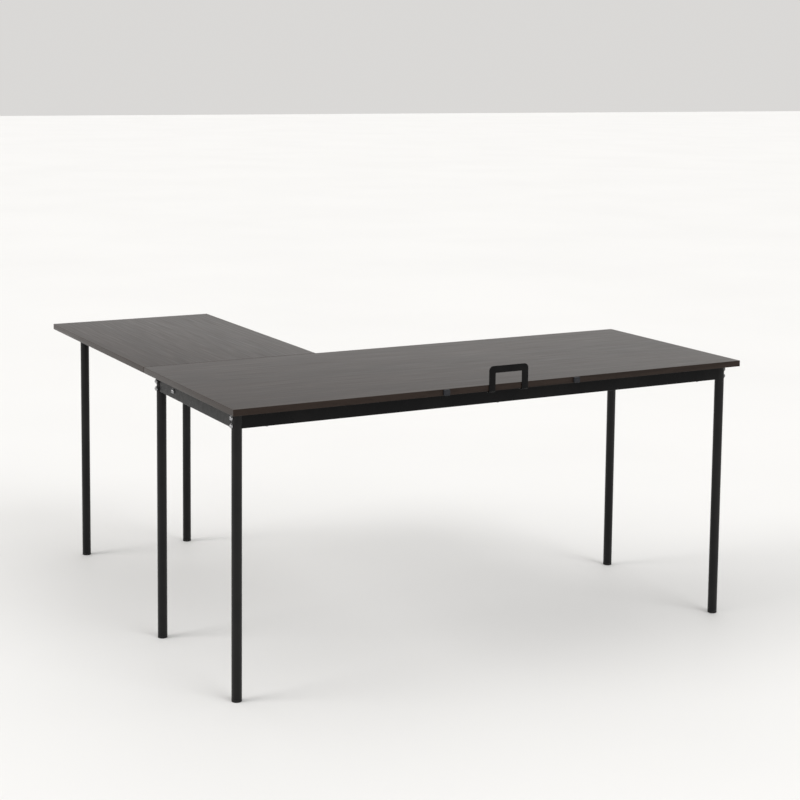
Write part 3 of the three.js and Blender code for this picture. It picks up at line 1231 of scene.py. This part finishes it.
@dataclass
class CableBracket:
    """The bent flat-bar bracket that cables are led through, with its two screws."""

    node: str = "cable_bracket"
    bar: float = 0.018
    thickness: float = 0.003
    outer_radius: float = 0.012
    inner_radius: float = 0.0012
    bend_radius: float = 0.0015
    edge_ease: float = 0.0005
    bend_steps: int = 8
    corner_steps: int = 12
    screw_from_edge: float = 0.018
    screw_length: float = 0.0135

    def build(self) -> None:
        """Builds the bracket and its screws."""
        section = self.section()
        rings = []
        for station in (*self.half(-1.0), *reversed(self.half(1.0))):
            across = station.outer - station.inner
            rings.append([station.inner + across * s + station.outward * v for s, v in section])
        draft = MeshDraft()
        draft.loft(rings)
        finished(draft, f"{self.node}_bar", [POWDER_COAT], [self.node], crease=40.0)
        self.screws()

    def section(self) -> list[tuple[float, float]]:
        """The bar's section: the share from its inner to its outer edge, and the height over its middle."""
        outline = rounded_rectangle(self.bar, self.thickness, self.edge_ease, 3)
        return [(x / self.bar + 0.5, y) for x, y in outline]

    def half(self, side: float) -> list[Station]:
        """The sections of one half, from the foot's end to the middle of the crown.

        Args:
            side: -1 for the left half, 1 for the right half.

        Returns:
            The sections.
        """
        low, high = box_of(self.node)
        middle = (low.x + high.x) / 2
        outer_x = (high.x - low.x) / 2
        inner_x = outer_x - self.bar
        wall_y = low.y + self.thickness / 2
        foot_z = low.z + self.thickness / 2
        back = Vector((0.0, -1.0, 0.0))
        bend = self.bend_radius + self.thickness / 2

        def station(inner: tuple[float, float], outer: tuple[float, float], y: float, way: Vector) -> Station:
            """A section, from the X and Z of its two edges, its Y and the way its outer face looks."""
            ends = [Vector((middle + side * x, y, z)) for x, z in (inner, outer)]
            return Station(*ends, way)

        stations = []
        for y in (high.y, high.y - self.edge_ease, wall_y + bend):
            narrow = self.edge_ease if y == high.y else 0.0
            stations.append(station((inner_x + narrow, foot_z), (outer_x - narrow, foot_z), y, -UP))
        for step in range(1, self.bend_steps + 1):
            angle = step * math.pi / (2 * self.bend_steps)
            y = wall_y + bend - bend * math.sin(angle)
            z = foot_z + bend - bend * math.cos(angle)
            way = (-UP * math.cos(angle) + back * math.sin(angle)).normalized()
            stations.append(station((inner_x, z), (outer_x, z), y, way))
        for step in range(self.corner_steps + 1):
            angle = step * math.pi / (2 * self.corner_steps)
            inward, upward = 1 - math.cos(angle), 1 - math.sin(angle)
            inner = (inner_x - self.inner_radius * inward, high.z - self.bar - self.inner_radius * upward)
            outer = (outer_x - self.outer_radius * inward, high.z - self.outer_radius * upward)
            stations.append(station(inner, outer, wall_y, back))
        return stations

    def screws(self) -> None:
        """Builds the two screws that hold the bracket's feet."""
        low, high = box_of(self.node)
        y = box_of("main_top")[0].y + self.screw_from_edge
        for name, x in (("left", low.x + self.bar / 2), ("right", high.x - self.bar / 2)):
            seat = Vector((x, y, low.z - FIT_GAP))
            WOOD_SCREW.build_at(seat, UP, self.screw_length, f"{self.node}_screw_{name}")


@dataclass
class EdgeBlock:
    """A small moulded block on the rear edge, with a raised pad inside a shallow rim."""

    node: str
    corner_radius: float = 0.0024
    least_corner: float = 0.0004
    back_chamfer: float = 0.0003
    ease: float = 0.0012
    rim: float = 0.0022
    rim_depth: float = 0.0005
    rim_slope: float = 0.0003
    pad_from_rim: float = 0.0009
    pad_slope_end: float = 0.0012
    pad_below_rim: float = 0.0001

    def build(self) -> None:
        """Builds the block."""
        low, high = box_of(self.node)
        middle = centre_of(self.node)
        width, height, depth = high.x - low.x, high.z - low.z, high.y - low.y
        floor = depth - self.rim_depth
        profile = [
            (self.back_chamfer, 0.0),
            (0.0, self.back_chamfer),
            *quarter_round((self.ease, depth - self.ease), (self.ease, self.ease), 180.0, -90.0, 5),
            (self.rim, depth),
            (self.rim + self.rim_slope, floor),
            (self.rim + self.pad_from_rim, floor),
            (self.rim + self.pad_slope_end, depth - self.pad_below_rim),
        ]
        rings = []
        for inset, rise in profile:
            corner = max(self.corner_radius - inset, self.least_corner)
            outline = rounded_rectangle(width - 2 * inset, height - 2 * inset, corner, 5)
            rings.append([Vector((middle.x + x, high.y - rise, middle.z + z)) for x, z in outline])
        draft = MeshDraft()
        draft.loft(rings)
        finished(draft, f"{self.node}_moulding", [BLOCK_PLASTIC], [self.node])


# ------------------------------------------------------------------ assemblies


@dataclass
class MainFrame:
    """The frame under the main top: four legs, four rails, their welds, bolts and screws."""

    rail_screws: int = 3

    def build(self) -> None:
        """Builds every piece of the frame."""
        for where in ("rear_left", "rear_right", "front_left", "front_right"):
            RoundLeg(f"main_leg_{where}", f"foot_cap_{where}").build()
            inward = Vector((1.0 if where.endswith("left") else -1.0, 0.0, 0.0))
            for level in ("upper", "lower"):
                RAIL_BOLT.build_for(f"leg_bolt_{where}_{level}", inward)
            dress_packed_node(f"rail_insert_{where}", ZINC)
        for side in ("rear", "front"):
            CopedRail(f"{side}_rail", Axis.X, (f"main_leg_{side}_left", f"main_leg_{side}_right")).build()
            for number in range(1, self.rail_screws + 1):
                WOOD_SCREW.build_for(f"{side}_rail_screw_{number}")
        setback = size_of("rear_rail").y / 2 + FIT_GAP
        for side in ("left", "right"):
            legs = (f"main_leg_rear_{side}", f"main_leg_front_{side}")
            rail = CopedRail(f"{side}_rail", Axis.Y, legs, setback)
            rail.build()
            for end in (0, 1):
                RailWeld(rail, end).build()
        RAIL_BOLT.build_for("left_rail_bolt", Axis.X.forward)


@dataclass
class ReturnFrame:
    """What holds the return top: two legs on screwed plates."""

    plate_screws: int = 4

    def build(self) -> None:
        """Builds the legs, the plates, their welds and their screws."""
        for side in ("left", "right"):
            RoundLeg(f"return_leg_{side}", f"foot_cap_return_{side}").build()
            SteelPlate(f"leg_plate_{side}").build()
            PlateWeld(f"return_leg_{side}", f"leg_plate_{side}").build()
            for number in range(1, self.plate_screws + 1):
                WOOD_SCREW.build_for(f"leg_plate_{side}_screw_{number}")


@dataclass
class JoiningPlates:
    """The two plates that tie the return top to the main top."""

    plate_screws: int = 4

    def build(self) -> None:
        """Builds the plates and their screws."""
        for side in ("left", "right"):
            SteelPlate(f"joining_plate_{side}").build()
            for number in range(1, self.plate_screws + 1):
                WOOD_SCREW.build_for(f"joining_plate_{side}_screw_{number}")


@dataclass
class RearEdgeFittings:
    """What is fixed to the main top's rear edge."""

    def build(self) -> None:
        """Builds the cable bracket and the two small blocks."""
        CableBracket().build()
        for side in ("left", "right"):
            EdgeBlock(f"edge_block_{side}").build()


def dress_packed_node(node: str, finish: Finish) -> None:
    """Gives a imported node, which keeps its own shape, a finish.

    Args:
        node: the node.
        finish: its finish.
    """
    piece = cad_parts[node]
    piece.data.materials.clear()
    piece.data.materials.append(material_of(finish))
    LOG.info("%s: keeps its packed shape", node)


# ------------------------------------------------------------------ studio


@dataclass(frozen=True)
class SoftSun:
    """A very wide distant light, so that near and far floor are lit alike."""

    name: str
    comes_from: tuple[float, float, float]
    strength: float
    width_degrees: float
    colour: Colour = (1.0, 1.0, 1.0)

    def build(self) -> None:
        """Builds the light."""
        lamp = bpy.data.lights.new(self.name, "SUN")
        lamp.energy = self.strength
        lamp.angle = math.radians(self.width_degrees)
        lamp.color = self.colour
        holder = bpy.data.objects.new(self.name, lamp)
        holder.rotation_euler = Vector(self.comes_from).to_track_quat("Z", "Y").to_euler()
        bpy.context.scene.collection.objects.link(holder)


@dataclass(frozen=True)
class Viewpoint:
    """Where the camera stands and how it looks, in metres and radians."""

    place: tuple[float, float, float] = (-2.228, -4.199, 1.521)
    turn: float = 0.4998
    tilt_down: float = 0.1060
    roll: float = 0.0105
    focal_length_mm: float = 74.92
    sensor_width_mm: float = 36.0
    shift_up: float = -0.2
    sees_to: float = 200.0

    def build(self) -> None:
        """Builds the camera and makes it the scene's own."""
        data = bpy.data.cameras.new("camera")
        data.lens = self.focal_length_mm
        data.sensor_width = self.sensor_width_mm
        data.shift_y = self.shift_up
        data.clip_end = self.sees_to
        camera = bpy.data.objects.new("camera", data)
        heading = Matrix.Rotation(-self.turn, 3, "Z")
        tilt = Matrix.Rotation(math.pi / 2 - self.tilt_down, 3, "X")
        roll = Matrix.Rotation(self.roll, 3, "Z")
        camera.rotation_euler = (heading @ tilt @ roll).to_euler()
        camera.location = self.place
        bpy.context.scene.collection.objects.link(camera)
        bpy.context.scene.camera = camera


@dataclass
class Studio:
    """The plain pale floor, the soft light and the camera."""

    floor_half: float = 40.0
    floor_thickness: float = 0.1
    surround: Colour = (1.0, 0.985, 0.965)
    surround_strength: float = 0.7
    lamps: tuple[SoftSun, ...] = (
        SoftSun("left_light", (-0.97, 0.16, 0.62), 1.3, 32.0, (1.0, 0.985, 0.965)),
        SoftSun("right_light", (0.3, -0.9, 0.72), 1.05, 38.0),
        SoftSun("top_light", (0.1, 0.2, 1.0), 0.3, 80.0),
    )

    def build(self) -> None:
        """Builds the floor, the surround, the lamps and the camera."""
        self.floor()
        self.surroundings()
        for lamp in self.lamps:
            lamp.build()
        Viewpoint().build()

    def floor(self) -> None:
        """Builds the floor, which the feet stand on."""
        half = self.floor_half
        plan = ((-half, -half), (half, -half), (half, half), (-half, half))
        draft = MeshDraft()
        draft.loft([[Vector((x, y, z)) for x, y in plan] for z in (-self.floor_thickness, 0.0)])
        mesh = bpy.data.meshes.new("floor")
        mesh.from_pydata([tuple(p) for p in draft.points], [], draft.faces)
        mesh.materials.append(material_of(PaintedFloor()))
        floor = bpy.data.objects.new("floor", mesh)
        bpy.context.scene.collection.objects.link(floor)

    def surroundings(self) -> None:
        """Sets the even light that comes from all round."""
        world = bpy.data.worlds.new("studio")
        world.use_nodes = True
        background = world.node_tree.nodes["Background"]
        background.inputs["Color"].default_value = (*self.surround, 1.0)
        background.inputs["Strength"].default_value = self.surround_strength
        bpy.context.scene.world = world
        bpy.context.scene.view_settings.view_transform = "Standard"


def main() -> None:
    """Builds the desk and the studio round it."""
    logging.basicConfig(level=logging.INFO, format="%(name)s %(message)s")
    tops = (
        BandedTop("main_top", BOARD_GRAIN_X, (BAND_GRAIN_X, BAND_GRAIN_Y)),
        BandedTop("return_top", BOARD_GRAIN_Y, (BAND_GRAIN_X, BAND_GRAIN_Y)),
    )
    for part in (*tops, MainFrame(), ReturnFrame(), JoiningPlates(), RearEdgeFittings(), Studio()):
        LOG.info("building %s", type(part).__name__)
        part.build()


if __name__ == "__main__":
    main()
